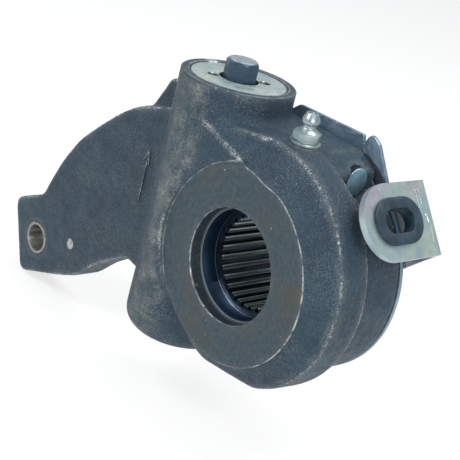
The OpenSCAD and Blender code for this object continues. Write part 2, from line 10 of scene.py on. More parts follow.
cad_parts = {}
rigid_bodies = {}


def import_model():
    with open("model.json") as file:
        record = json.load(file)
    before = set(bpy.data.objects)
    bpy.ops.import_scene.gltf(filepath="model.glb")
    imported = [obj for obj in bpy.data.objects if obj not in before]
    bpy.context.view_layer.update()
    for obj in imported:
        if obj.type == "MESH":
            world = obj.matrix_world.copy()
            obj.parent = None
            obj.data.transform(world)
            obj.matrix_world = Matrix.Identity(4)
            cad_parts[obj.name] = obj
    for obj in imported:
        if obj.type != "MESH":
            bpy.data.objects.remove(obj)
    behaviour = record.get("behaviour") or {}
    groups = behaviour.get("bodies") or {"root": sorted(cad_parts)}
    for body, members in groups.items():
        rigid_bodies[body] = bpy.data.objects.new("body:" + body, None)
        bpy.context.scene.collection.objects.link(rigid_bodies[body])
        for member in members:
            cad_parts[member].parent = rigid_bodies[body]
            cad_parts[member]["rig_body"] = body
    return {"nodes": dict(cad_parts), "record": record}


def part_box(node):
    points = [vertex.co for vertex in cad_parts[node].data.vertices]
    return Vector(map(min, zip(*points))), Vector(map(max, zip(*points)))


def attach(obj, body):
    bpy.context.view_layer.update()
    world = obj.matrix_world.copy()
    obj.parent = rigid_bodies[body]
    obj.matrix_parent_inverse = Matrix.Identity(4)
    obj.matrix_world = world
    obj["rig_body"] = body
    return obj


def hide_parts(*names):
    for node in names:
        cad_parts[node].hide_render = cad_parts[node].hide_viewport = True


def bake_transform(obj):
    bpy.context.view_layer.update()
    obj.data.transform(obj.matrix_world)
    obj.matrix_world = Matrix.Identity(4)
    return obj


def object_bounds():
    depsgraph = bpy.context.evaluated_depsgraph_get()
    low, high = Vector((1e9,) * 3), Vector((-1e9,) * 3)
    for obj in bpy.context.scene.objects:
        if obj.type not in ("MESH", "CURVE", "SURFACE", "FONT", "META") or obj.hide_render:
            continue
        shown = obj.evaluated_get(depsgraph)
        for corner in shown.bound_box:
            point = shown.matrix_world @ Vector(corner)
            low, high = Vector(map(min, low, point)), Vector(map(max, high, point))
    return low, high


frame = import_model()
CAD_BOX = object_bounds()
NODES = frame["nodes"]
SLOTS = {row["node"]: row["material_slot"] for row in frame["record"]["subparts"]}
MM = 0.001

# Camera, fitted to the photograph in millimetres and pixels of its 460 pixel frame
CAMERA_AZIMUTH = 43.59
CAMERA_ELEVATION = 21.662
CAMERA_ROLL = -14.325
CAMERA_DISTANCE = 437.775
CAMERA_FOCAL_PX = 1149.85
CAMERA_OFFSET = (-0.639, -14.022)
FRAME_PX = 460
SENSOR = 36.0

# Floor, background colour and strength, and lamps with their place, width and power, in metres and watts
FLOOR_SIZE = 6.0
FLOOR_DROP = 2 * MM
FLOOR_GLOW = 0.7
FLOOR_COLOUR = (0.9, 0.9, 0.9, 1)
BACKGROUND = ((0.93, 0.97, 1.0, 1), 0.55)
LAMP_TARGET = (-0.03, 0.02, 0.0)
LAMPS = (("key", (-0.35, -0.75, 0.85), 0.6, 9.0), ("fill", (0.95, -0.35, 0.45), 0.7, 8.0),
         ("top", (0.1, 0.35, 1.0), 0.8, 7.0))

# Casting: voxel size, smoothing passes and grain, in millimetres
VOXEL = 0.62
FIRST_PASSES = 3
EDGE_PASSES = 8
HOLLOW_PASSES = 90
LAST_PASSES = 4
GRAIN_HEIGHT = 0.07
FACE_TARGET = 70000

# Parts of the casting that keep all their faces, in millimetres: front face, tube rim and crest
FACE_KEPT = 2.0
RIM_KEPT = 3.0
CREST_KEPT = 3.0

# Bend of the casting's skin per millimetre, between nothing and the full effect that the name tells
RIDGE_BEND = (0.04, 0.14)
HOLLOW_BEND = (-0.03, -0.12)
WORN_BEND = (0.1, 0.32)
RUBBED_BEND = (0.015, 0.06)
HOLLOW_SHADE_BEND = (-0.05, -0.25)
RUBBED_SHARE = 0.35

# Depth over which the casting's foremost parts get tan dust and a painted highlight, in millimetres behind
# the front face
FRONT_HIGHLIGHT_DEPTH = (0.5, -1.8)

# Distances from the crest, in millimetres, between which it is held to the solid and worn bright
CREST_HELD = (3.2, 1.0)
CREST_WORN = (1.9, 0.2)
CREST_WEAR = 0.75

# Joining of vertices, bevels and shading: distances, and angles between faces
WELD = 0.002 * MM
SHORT_EDGE = 0.05 * MM
NO_AREA = 0.001 * MM
FLAT_ANGLE = math.radians(0.5)
BEVEL_ANGLE = math.radians(40.0)
SHARP_ANGLE = math.radians(32.0)
CASTING_SHARP = math.radians(40.0)

# Fillet between lever and tube: radius, root in the tube wall, end heights at the tube axis and the lever
WEB_R = 16.0 * MM
WEB_STEPS = 12
WEB_ROOT_R = 20.3 * MM
WEB_LOW = (-33.0 * MM, -32.0 * MM)
WEB_HIGH = {-1: (43.0 * MM, 35.5 * MM), 1: (30.0 * MM, 27.0 * MM)}

# Places taken from the frame
eye_low, eye_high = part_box("eye_bush")
EYE = (eye_low + eye_high) / 2
cap_low, cap_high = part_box("worm_cap")
WORM = (cap_low + cap_high) / 2
CAP_R = (cap_high.x - cap_low.x) / 2
washer_low, washer_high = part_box("nipple_washer")
NIPPLE = (washer_low + washer_high) / 2
NIPPLE_BASE = washer_low.z
plug_low, plug_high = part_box("rack_plug")
PLUG = (plug_low + plug_high) / 2
PLUG_R = (plug_high.z - plug_low.z) / 2
REAR_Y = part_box("gasket")[0].y
TUBE_TOP = cap_high.z + 1.5 * MM
ARM_FRONT = eye_low.y + 0.3 * MM
ARM_HALF = WORM.y - ARM_FRONT
HEX_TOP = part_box("worm_shaft")[1].z

# Sizes as in the CAD source, the edges of a spline land as a share of its pitch, and the shoulder's crest
FACE_R = 39.0 * MM
FRONT_HOLE_R = 22.7 * MM
TUBE_R = 23.6 * MM
SPLINE_R = 17.6 * MM
SPLINE_N = 28
LAND_EDGE = 0.19
SHOULDER = (Vector((WORM.x + 7 * MM, 0.4 * MM, 47.2 * MM)), Vector((-8.0 * MM, 0.4 * MM, FACE_R + 1.3 * MM)))

# Where the cut face runs out past its circle or falls short of it: place, distance and reach, in millimetres
FACE_WAVES = (((-9.5, 0.4, 40.2), 1.1, 8.0), ((-17.0, 0.4, 36.5), 1.0, 18.0), ((7.5, 0.4, 37.5), -1.0, 9.0))

# Cap head: how far it goes up and out, the depth over which it is lifted and the width of its rim
CAP_RISE = 1.15 * MM
CAP_SPREAD = 1.0 * MM
CAP_DEPTH = (-0.8 * MM, -0.1 * MM)
CAP_RIM = 2.0 * MM

# Tab of the control arm: distance of its face from the camshaft axis, and directions
TAB_ANGLE = math.radians(39.0)
TAB_DISTANCE = 61.6 * MM
TAB_NORMAL = Vector((math.cos(TAB_ANGLE), 0, math.sin(TAB_ANGLE)))
TAB_ACROSS = Vector((-math.sin(TAB_ANGLE), 0, math.cos(TAB_ANGLE)))
TAB_ALONG = Vector((0, 1, 0))

# Bush flange in the tab's plane, in millimetres: as modelled, and as an even border of its slot
BUSH_R = 11.9
BUSH_FLAT = 8.7
BORDER_R = 8.8
BORDER_RUN = 3.8

# Share of the flange's reach over which the change grows, and places of the cuts that let it bend
BORDER_FROM = (0.75, 0.94)
FLANGE_CUTS = range(-8, 9)

# Bore of the wheel: depth of its chamfer and of the two edges past the hub's front end that get painted
# highlight lines
WHEEL_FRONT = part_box("worm_wheel")[0].y
BORE_CHAMFER = 0.8 * MM
BORE_EDGES = (0.15 * MM, 7.1 * MM)


# Node helpers

class Look:
    """A procedural material with short calls for the nodes that it needs."""

    def __init__(self, name):
        self.mat = bpy.data.materials.new(name)
        self.mat.use_nodes = True
        self.tree = self.mat.node_tree
        self.bsdf = self.tree.nodes["Principled BSDF"]
        self.coord = self.add("ShaderNodeTexCoord").outputs["Object"]

    def add(self, kind, **props):
        node = self.tree.nodes.new(kind)
        for key, value in props.items():
            setattr(node, key, value)
        return node

    def feed(self, socket, value):
        if isinstance(value, bpy.types.NodeSocket):
            self.tree.links.new(value, socket)
        else:
            socket.default_value = value

    def set(self, **values):
        for key, value in values.items():
            self.feed(self.bsdf.inputs[key.replace("_", " ")], value)

    def noise(self, scale, detail=4.0, rough=0.55, stretch=None):
        vector = self.coord
        if stretch:
            mapping = self.add("ShaderNodeMapping")
            mapping.inputs["Scale"].default_value = stretch
            self.feed(mapping.inputs["Vector"], vector)
            vector = mapping.outputs["Vector"]
        tex = self.add("ShaderNodeTexNoise")
        self.feed(tex.inputs["Vector"], vector)
        tex.inputs["Scale"].default_value = scale
        tex.inputs["Detail"].default_value = detail
        tex.inputs["Roughness"].default_value = rough
        return tex.outputs["Fac"]

    def attribute(self, name):
        return self.add("ShaderNodeAttribute", attribute_name=name).outputs["Fac"]

    def ramp(self, value, low, high, out_low=0.0, out_high=1.0):
        node = self.add("ShaderNodeMapRange", interpolation_type="SMOOTHSTEP")
        self.feed(node.inputs["Value"], value)
        for key, number in (("From Min", low), ("From Max", high), ("To Min", out_low), ("To Max", out_high)):
            node.inputs[key].default_value = number
        return node.outputs["Result"]

    def math(self, kind, a, b=0.0):
        node = self.add("ShaderNodeMath", operation=kind)
        self.feed(node.inputs[0], a)
        self.feed(node.inputs[1], b)
        return node.outputs[0]

    def mix(self, factor, a, b):
        node = self.add("ShaderNodeMix", data_type="RGBA")
        self.feed(node.inputs[0], factor)
        self.feed(node.inputs[6], a)
        self.feed(node.inputs[7], b)
        return node.outputs[2]

    def near(self, point, reach_low, reach_high):
        """1 close to a point, falling to 0 between the two distances."""
        node = self.add("ShaderNodeVectorMath", operation="DISTANCE")
        self.feed(node.inputs[0], self.coord)
        node.inputs[1].default_value = point
        return self.ramp(node.outputs["Value"], reach_low, reach_high, 1.0, 0.0)

    def reach(self, along, centre=(0.0, 0.0, 0.0)):
        """Distance from the camshaft axis, or from an upright axis through a centre."""
        flat = self.add("ShaderNodeVectorMath", operation="MULTIPLY")
        flat.inputs[1].default_value = (1, 0, 1) if along == "Y" else (1, 1, 0)
        self.feed(flat.inputs[0], self.coord)
        node = self.add("ShaderNodeVectorMath", operation="DISTANCE")
        self.feed(node.inputs[0], flat.outputs["Vector"])
        node.inputs[1].default_value = centre
        return node.outputs["Value"]

    def axis(self, name):
        node = self.add("ShaderNodeSeparateXYZ")
        self.feed(node.inputs[0], self.coord)
        return node.outputs[name]

    def bump(self, height, strength, distance):
        node = self.add("ShaderNodeBump")
        node.inputs["Strength"].default_value = strength
        node.inputs["Distance"].default_value = distance
        self.feed(node.inputs["Height"], height)
        return node.outputs["Normal"]


def rgb(red, green, blue):
    """A colour given as screen values 0 to 255."""
    def linear(v):
        v = v / 255
        return v / 12.92 if v <= 0.04045 else ((v + 0.055) / 1.055) ** 2.4
    return (linear(red), linear(green), linear(blue), 1.0)


# Materials

# Chips down to bare metal: place, and the distances in millimetres between which they end
BARE_SPOTS = [
    (Vector((-114.8 * MM, ARM_FRONT, -47.3 * MM)), 1.9, 2.9),
    (Vector((WORM.x - 21.2 * MM, WORM.y + 3.0 * MM, TUBE_TOP)), 2.0, 3.2),
]

# Painted highlight lines on cut edges: half width, how far from the edge's level they fade, and from where
# along X
LINE_HALF = (0.08 * MM, 0.34 * MM)
LINE_LEVEL = (0.5 * MM, 0.9 * MM)
FACE_LINE_X = (-FACE_R, FACE_R / 2)
WHOLE_LINE_X = (-1.0, -0.9)

# Half width of the painted highlight lines in the wheel's bore, and of those on its lands as a share of their
# pitch
BORE_LINE_HALF = (0.1 * MM, 0.3 * MM)
LAND_LINE_HALF = (0.025, 0.075)


def cut_edge_highlights(look):
    """Painted highlight lines, in the colour of bare metal, on the edges that machining leaves: the front
    face, its hole and the tube rim.
    """
    lines = None
    rims = (("Y", FACE_R, 0.0, 1.0), ("Y", FRONT_HOLE_R, 0.0, 0.8),
            ("Z", TUBE_R - 0.5 * MM, TUBE_TOP, 0.3), ("Z", CAP_R + 1.4 * MM, TUBE_TOP, 1.0))
    for side, radius, edge, strength in rims:
        fade = FACE_LINE_X if radius == FACE_R else WHOLE_LINE_X
        centre = (0.0, 0.0, 0.0) if side == "Y" else (WORM.x, WORM.y, 0.0)
        if radius == FACE_R:
            for place, rise, spread in FACE_WAVES:
                wave = look.near(Vector(place) * MM, 0.0, spread * MM)
                radius = look.math("ADD", look.math("MULTIPLY", wave, rise * MM), radius)
        off = look.math("ABSOLUTE", look.math("SUBTRACT", look.reach(side, centre), radius))
        line = look.ramp(off, *LINE_HALF, strength, 0.0)
        level = look.math("ABSOLUTE", look.math("SUBTRACT", look.axis(side), edge))
        line = look.math("MULTIPLY", line, look.ramp(level, *LINE_LEVEL, 1.0, 0.0))
        line = look.math("MULTIPLY", line, look.ramp(look.noise(160.0, 5.0, 0.7), 0.4, 0.6, 0.1, 1.0))
        # The painted highlight on the front face's edge grows brighter towards +X
        line = look.math("MULTIPLY", line, look.ramp(look.axis("X"), *fade, 0.3, 1.0))
        lines = line if lines is None else look.math("MAXIMUM", lines, line)
    return lines


def casting_look():
    """Specked grey-blue paint with dust, chips and pits, light specks painted as glints, painted shade in
    hollows, a painted highlight with the dust on the foremost parts, and bare metal where a tool has cut,
    with painted highlight lines on its edges.
    """
    look = Look("casting")
    broad = look.ramp(look.noise(38.0, 3.0), 0.35, 0.68)
    blotch = look.ramp(look.noise(170.0, 5.0, 0.65), 0.42, 0.7)
    # Light specks of the sand-cast grain, painted bright as glints
    speck_glint = look.ramp(look.noise(2150.0, 3.0, 0.62), 0.49, 0.69)
    speck_glint = look.math("MULTIPLY", speck_glint, look.ramp(look.noise(55.0, 3.0), 0.36, 0.62, 0.35, 1.0))
    pit = look.ramp(look.noise(1500.0, 3.0, 0.6), 0.3, 0.46, 1.0, 0.0)
    wear = look.attribute("wear")
    machined = look.attribute("machined")
    hollow = look.attribute("hollow")
    paint = look.mix(broad, rgb(13, 42, 61), rgb(22, 53, 69))
    paint = look.mix(look.math("MULTIPLY", blotch, 0.5), paint, rgb(38, 58, 66))
    # Tan dust on ridges, and on the foremost parts dust with a painted highlight band
    dust_highlight_tan = look.math("MULTIPLY", look.attribute("dust_and_highlight"), look.ramp(look.noise(130.0, 7.0, 0.75), 0.34, 0.68))
    paint = look.mix(look.math("MULTIPLY", dust_highlight_tan, 0.6), paint, rgb(100, 104, 98))
    paint = look.mix(look.math("MULTIPLY", speck_glint, 0.8), paint, rgb(98, 110, 113))
    paint = look.mix(look.math("MULTIPLY", pit, 0.75), paint, rgb(18, 28, 37))
    # Painted shade darkening the casting's hollows
    paint = look.mix(look.math("MULTIPLY", hollow, 0.5), paint, rgb(28, 33, 39))
    turned = look.noise(900.0, 3.0, 0.6, stretch=(0.6, 0.1, 0.6))
    turned_colour = look.mix(look.ramp(turned, 0.3, 0.7), rgb(34, 52, 62), rgb(51, 67, 74))
    turned_colour = look.mix(look.ramp(look.noise(45.0, 4.0), 0.45, 0.75), turned_colour, rgb(58, 61, 57))
    brushed = look.ramp(look.noise(800.0, 5.0, 0.7, stretch=(1.0, 1.0, 0.07)), 0.56, 0.74, 0.0, 0.3)
    turned_colour = look.mix(brushed, turned_colour, rgb(96, 103, 104))
    nick = look.math("MULTIPLY", look.ramp(look.noise(520.0, 3.0, 0.6), 0.66, 0.71),
                     look.ramp(look.noise(28.0, 2.0), 0.5, 0.62))
    turned_colour = look.mix(nick, turned_colour, rgb(164, 170, 170))
    inside = look.ramp(look.reach("Y"), FRONT_HOLE_R - 0.1 * MM, FRONT_HOLE_R + 0.15 * MM, 1.0, 0.0)
    turned_colour = look.mix(inside, turned_colour, rgb(22, 36, 47))
    paint = look.mix(machined, paint, turned_colour)
    chipped = look.math("MAXIMUM", wear, look.math("MULTIPLY", dust_highlight_tan, 0.45))
    chipped = look.math("MULTIPLY", chipped, look.ramp(look.noise(1300.0, 4.0, 0.7), 0.42, 0.6))
    chipped = look.math("MULTIPLY", chipped, look.ramp(look.noise(110.0, 4.0, 0.6), 0.36, 0.58, 0.2, 1.0))
    # Bare metal at chips and spots, with painted highlight lines along the cut edges
    bare_and_highlight = look.math("MAXIMUM", chipped, cut_edge_highlights(look))
    for spot, low, high in BARE_SPOTS:
        patch = look.near(spot, low * MM, high * MM)
        chip = look.math("MULTIPLY", patch, look.ramp(look.noise(700.0), 0.3, 0.46))
        bare_and_highlight = look.math("MAXIMUM", bare_and_highlight, chip)
    look.set(Base_Color=look.mix(bare_and_highlight, paint, rgb(172, 177, 176)))
    rough = look.ramp(look.noise(260.0, 4.0), 0.3, 0.7, 0.44, 0.62)
    look.set(Roughness=look.math("SUBTRACT", rough, look.math("MULTIPLY", bare_and_highlight, 0.18)))
    look.set(Metallic=look.math("ADD", 0.2, look.math("MULTIPLY", bare_and_highlight, 0.5)))
    grain = look.math("ADD", look.noise(1300.0, 4.0, 0.65), look.math("MULTIPLY", pit, -0.3))
    grain = look.math("MULTIPLY", grain, look.math("SUBTRACT", 1.0, look.math("MULTIPLY", machined, 0.85)))
    look.set(Normal=look.bump(grain, 0.9, 0.0005))
    return look.mat


def zinc_look(name, cool, warm, rough, tint=None, dirt=0.25, shade_short_of=None):
    """Zinc plating: soft mottling, rub marks and dirt, with painted shade short of a place along an axis if
    given.
    """
    look = Look(name)
    mottled = look.mix(look.ramp(look.noise(120.0, 5.0, 0.6), 0.35, 0.68), cool, warm)
    if tint:
        mottled = look.mix(look.ramp(look.noise(55.0, 3.0), 0.45, 0.66, 0.0, 0.6), mottled, tint)
    scratch = look.ramp(look.noise(420.0, 6.0, 0.7), 0.56, 0.72)
    mottled = look.mix(look.math("MULTIPLY", scratch, 0.4), mottled, rgb(214, 220, 220))
    grime = look.math("MULTIPLY", look.ramp(look.noise(260.0, 6.0, 0.7), 0.55, 0.75), dirt)
    mottled = look.mix(grime, mottled, rgb(78, 80, 76))
    # Painted shade on the part short of the given place along the axis
    if shade_short_of:
        axis, place, shade_colour = shade_short_of
        unshaded = look.ramp(look.axis(axis), place - 0.2 * MM, place)
        mottled = look.mix(unshaded, shade_colour, mottled)
    look.set(Base_Color=mottled, Metallic=0.75)
    look.set(Roughness=look.ramp(look.noise(300.0, 4.0), 0.3, 0.7, rough - 0.07, rough + 0.1))
    look.set(Normal=look.bump(look.noise(800.0, 5.0, 0.6), 0.12, 0.0002))
    return look.mat


def steel_look(name, dark, light, rough, grain=None, stain=0.5):
    """Machined steel or bronze with some stain, and with drawn grain where a stretch is given."""
    look = Look(name)
    lay = look.noise(520.0, 6.0, 0.65, stretch=grain)
    tone = look.mix(look.ramp(lay, 0.32, 0.68), dark, light)
    tone = look.mix(look.ramp(look.noise(95.0, 4.0), 0.5, 0.78, 0.0, stain), tone, rgb(104, 92, 72))
    look.set(Base_Color=tone, Metallic=0.85)
    look.set(Roughness=look.ramp(look.noise(210.0, 4.0), 0.3, 0.7, rough - 0.06, rough + 0.1))
    look.set(Normal=look.bump(lay, 0.15, 0.0002))
    return look.mat


def rubber_look(name, dark, light, rough):
    """Dull rubber or nylon."""
    look = Look(name)
    tone = look.mix(look.ramp(look.noise(240.0, 5.0, 0.6), 0.35, 0.7), dark, light)
    look.set(Base_Color=tone)
    look.set(Roughness=look.ramp(look.noise(330.0, 3.0), 0.3, 0.7, rough - 0.08, rough + 0.08))
    look.set(Normal=look.bump(look.noise(1400.0, 4.0), 0.2, 0.0001))
    return look.mat


def wheel_look():
    """Dark gear iron with painted highlight lines on two edges in its bore, and scuffed spline lands with
    painted highlight lines along their edges, bright on one edge and dim on the other.
    """
    look = Look("wheel_iron")
    lay = look.noise(520.0, 6.0, 0.65, stretch=(1.0, 0.12, 1.0))
    tone = look.mix(look.ramp(lay, 0.32, 0.68), rgb(17, 33, 48), rgb(36, 51, 64))
    depth = look.math("SUBTRACT", look.axis("Y"), WHEEL_FRONT)
    mouth = look.ramp(depth, BORE_CHAMFER, BORE_CHAMFER + 0.1 * MM, 1.0, 0.0)
    wall = look.ramp(depth, BORE_EDGES[1], BORE_EDGES[1] + 0.2 * MM, 0.75, 0.0)
    tone = look.mix(wall, tone, rgb(11, 37, 60))
    # Painted highlight lines on two edges of the bore
    for edge in BORE_EDGES:
        off = look.math("ABSOLUTE", look.math("SUBTRACT", depth, edge))
        line = look.ramp(off, *BORE_LINE_HALF, 0.75, 0.0)
        tone = look.mix(line, tone, rgb(120, 132, 138))
    land = look.ramp(look.reach("Y"), SPLINE_R + 0.15 * MM, SPLINE_R + 0.7 * MM, 1.0, 0.0)
    scuff = look.ramp(look.noise(900.0, 4.0, 0.7, stretch=(1, 0.04, 1)), 0.36, 0.62, 0.5, 1.0)
    land = look.math("MULTIPLY", land, scuff)
    turn = look.math("ARCTAN2", look.axis("Z"), look.axis("X"))
    place = look.math("FRACT", look.math("MULTIPLY", turn, SPLINE_N / math.tau))
    # Painted highlight lines along the edges of the lands, bright on one edge and dim on the other
    edges = None
    for edge, strength in ((0.5 - LAND_EDGE, 1.0), (0.5 + LAND_EDGE, 0.2)):
        off = look.math("ABSOLUTE", look.math("SUBTRACT", place, edge))
        line = look.ramp(off, *LAND_LINE_HALF, strength, 0.0)
        edges = line if edges is None else look.math("MAXIMUM", edges, line)
    land_and_highlight = look.mix(edges, rgb(86, 101, 99), rgb(236, 248, 245))
    look.set(Base_Color=look.mix(land, tone, land_and_highlight), Metallic=0.7)
    rough = look.ramp(look.noise(210.0, 4.0), 0.3, 0.7, 0.34, 0.5)
    look.set(Roughness=look.math("ADD", rough, look.math("MULTIPLY", mouth, 0.3)))
    look.set(Normal=look.bump(lay, 0.15, 0.0002))
    return look.mat


def hex_look():
    """Phosphated shaft, with the end of its hex painted lighter in patches as a highlight."""
    look = Look("phosphate")
    lay = look.noise(1100.0, 6.0, 0.65)
    tone = look.mix(look.ramp(lay, 0.28, 0.72), rgb(46, 62, 78), rgb(64, 83, 101))
    # Painted highlight on the end of the hex, in patches
    top = look.ramp(look.axis("Z"), HEX_TOP - 0.5 * MM, HEX_TOP - 0.1 * MM)
    top = look.math("MULTIPLY", top, look.ramp(look.noise(380.0, 5.0, 0.6), 0.28, 0.55, 0.4, 1.0))
    look.set(Base_Color=look.mix(top, tone, rgb(140, 151, 158)), Metallic=0.45)
    look.set(Roughness=look.ramp(look.noise(210.0, 4.0), 0.3, 0.7, 0.36, 0.52))
    look.set(Normal=look.bump(lay, 0.15, 0.0002))
    return look.mat


LOOKS = {
    "casting": casting_look(),
    # The cap's spanner holes and sides below its head get painted shade
    "cap": zinc_look("cap_zinc", rgb(160, 181, 184), rgb(186, 197, 189), 0.42, dirt=0.5,
                     shade_short_of=("Z", cap_high.z + 0.9 * MM, rgb(92, 102, 102))),
    "plate": zinc_look("plate_zinc", rgb(104, 132, 152), rgb(134, 156, 172), 0.38),
    "arm": zinc_look("arm_zinc", rgb(154, 177, 184), rgb(174, 189, 180), 0.34, tint=rgb(179, 164, 180)),
    "fitting": zinc_look("fitting_zinc", rgb(114, 136, 144), rgb(152, 166, 164), 0.3, dirt=0.45),
    # The plug's side gets painted shade, so that only its end face shows bright
    "plug": zinc_look("plug_zinc", rgb(130, 170, 192), rgb(152, 186, 202), 0.45,
                      shade_short_of=("X", plug_high.x - 0.3 * MM, rgb(26, 36, 46))),
    "wheel": wheel_look(),
    "hex": hex_look(),
    "steel": steel_look("machined_steel", rgb(126, 128, 130), rgb(164, 166, 166), 0.34),
    "spring": steel_look("spring_steel", rgb(84, 88, 94), rgb(118, 122, 128), 0.36),
    "bronze": steel_look("bronze", rgb(150, 122, 74), rgb(184, 154, 98), 0.38),
    "bush": steel_look("bush_steel", rgb(108, 108, 102), rgb(162, 164, 158), 0.38, (1.0, 0.15, 1.0), 0.3),
    "rubber": rubber_look("seal_rubber", rgb(9, 17, 27), rgb(20, 31, 44), 0.6),
    "nylon": rubber_look("bush_nylon", rgb(11, 33, 45), rgb(30, 55, 68), 0.5),
}

NODE_LOOK = {
    "eye_bush": "bush", "front_seal": "rubber", "worm_wheel": "wheel", "retaining_ring": "spring",
    "worm_shaft": "hex", "clutch_hub": "steel", "wrap_spring": "spring", "clutch_gear": "steel",
    "clutch_spring": "spring", "spring_seat": "steel", "thrust_washer": "bronze", "top_spacer": "steel",
    "worm_cap": "cap", "cap_seal": "rubber", "rack": "steel", "rack_spring": "spring", "rack_plug": "plug",
    "control_disc": "steel", "control_arm": "arm", "arm_rivets": "arm", "arm_bush": "nylon",
    "gasket": "rubber", "cover_plate": "plate", "cover_screws": "fitting", "rear_seal": "rubber",
    "grease_nipple": "fitting", "nipple_washer": "fitting", "nipple_ball": "steel",
}


# Mesh helpers

def loose_piece(name, mesh, look):
    """A new object with one look, not yet on a body."""
    piece = bpy.data.objects.new(name, mesh)
    bpy.context.scene.collection.objects.link(piece)
    mesh.materials.clear()
    mesh.materials.append(LOOKS[look])
    return piece


def new_piece(name, mesh, body, look, slot, *nodes):
    """A new object that rides on a body and replaces CAD nodes where some are named."""
    piece = loose_piece(name, mesh, look)
    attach(piece, body)
    if nodes:
        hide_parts(*nodes)
    return piece


def welded(node):
    """A copy of a CAD node's mesh with its doubled vertices joined."""
    mesh = NODES[node].data.copy()
    bm = bmesh.new()
    bm.from_mesh(mesh)
    bmesh.ops.remove_doubles(bm, verts=bm.verts, dist=WELD)
    bm.to_mesh(mesh)
    bm.free()
    return mesh


def applied(mesh, kind, members=(), **props):
    """The mesh with one modifier applied, with the given vertices in a group that it may name."""
    holder = bpy.data.objects.new("holder", mesh)
    bpy.context.scene.collection.objects.link(holder)
    holder.vertex_groups.new(name="members").add(list(members), 1.0, "REPLACE")
    modifier = holder.modifiers.new("step", kind)
    for key, value in props.items():
        setattr(modifier, key, value)
    evaluated = holder.evaluated_get(bpy.context.evaluated_depsgraph_get())
    result = bpy.data.meshes.new_from_object(evaluated)
    bpy.data.objects.remove(holder)
    return result


def bevelled(mesh, width):
    """The mesh with its sharp edges rounded, after joining the short edges that would narrow the bevel."""
    bm = bmesh.new()
    bm.from_mesh(mesh)
    bmesh.ops.dissolve_limit(bm, angle_limit=FLAT_ANGLE, verts=bm.verts, edges=bm.edges)
    bmesh.ops.remove_doubles(bm, verts=bm.verts, dist=SHORT_EDGE)
    bm.to_mesh(mesh)
    mesh = applied(mesh, "BEVEL", width=width, segments=2, limit_method="ANGLE", angle_limit=BEVEL_ANGLE,
                   use_clamp_overlap=True, harden_normals=False)
    bm.clear()
    bm.from_mesh(mesh)
    bmesh.ops.remove_doubles(bm, verts=bm.verts, dist=NO_AREA)
    bmesh.ops.dissolve_degenerate(bm, dist=NO_AREA, edges=bm.edges)
    bm.to_mesh(mesh)
    bm.free()
    return mesh


def finished(node, width, look):
    """Replaces a CAD node by a smoothly shaded copy, bevelled where a width is given."""
    mesh = welded(node)
    if width:
        mesh = bevelled(mesh, width * MM)
    mesh.shade_smooth()
    mesh.set_sharp_from_angle(angle=SHARP_ANGLE)
    return new_piece(node + "_finished", mesh, NODES[node]["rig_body"], look, SLOTS[node], node)


# Casting

class Surface:
    """Vertex positions and edges of a mesh as arrays, in millimetres."""

    def __init__(self, mesh):
        self.mesh = mesh
        self.count = len(mesh.vertices)
        co = np.empty(self.count * 3, np.float32)
        mesh.vertices.foreach_get("co", co)
        self.co = co.reshape(-1, 3).astype(np.float64) / MM
        edges = np.empty(len(mesh.edges) * 2, np.int32)
        mesh.edges.foreach_get("vertices", edges)
        self.a, self.b = edges.reshape(-1, 2).T
        self.degree = np.bincount(np.concatenate([self.a, self.b]), minlength=self.count).clip(1)

    def mean(self, values):
        """Mean of a value over each vertex's neighbours."""
        columns = values.reshape(self.count, -1)
        out = np.empty_like(columns)
        for k in range(columns.shape[1]):
            total = np.bincount(self.a, columns[self.b, k], self.count)
            total += np.bincount(self.b, columns[self.a, k], self.count)
            out[:, k] = total / self.degree
        return out.reshape(values.shape)

    def blur(self, values, passes):
        for _ in range(passes):
            values = 0.5 * values + 0.5 * self.mean(values)
        return values

    def relax(self, weight, passes):
        for _ in range(passes):
            self.co += 0.5 * weight[:, None] * (self.mean(self.co) - self.co)

    def settle(self, faces, weight):
        """Moves points back onto the solid's own faces, by their weight."""
        for i in np.flatnonzero(weight > 0.05):
            place = faces.find_nearest(self.co[i] * MM)[0]
            self.co[i] += weight[i] * (np.array(place) / MM - self.co[i])

    def write(self):
        self.mesh.vertices.foreach_set("co", (self.co * MM).astype(np.float32).ravel())
        self.mesh.update()

    def normals(self):
        self.write()
        out = np.empty(self.count * 3, np.float32)
        self.mesh.vertex_normals.foreach_get("vector", out)
        return out.reshape(-1, 3).astype(np.float64)

    def bend(self):
        """Mean normal curvature per millimetre: positive on outer edges, negative in hollows."""
        n = self.normals()
        step = self.co[self.b] - self.co[self.a]
        turn = ((n[self.b] - n[self.a]) * step).sum(1) / (step * step).sum(1).clip(1e-9)
        total = np.bincount(self.a, turn, self.count) + np.bincount(self.b, turn, self.count)
        return total / self.degree

    def store(self, name, values):
        layer = self.mesh.attributes.new(name, "FLOAT", "POINT")
        layer.data.foreach_set("value", values.astype(np.float32))


def smoothstep(low, high, x):
    t = np.clip((x - low) / (high - low), 0.0, 1.0)
    return t * t * (3 - 2 * t)


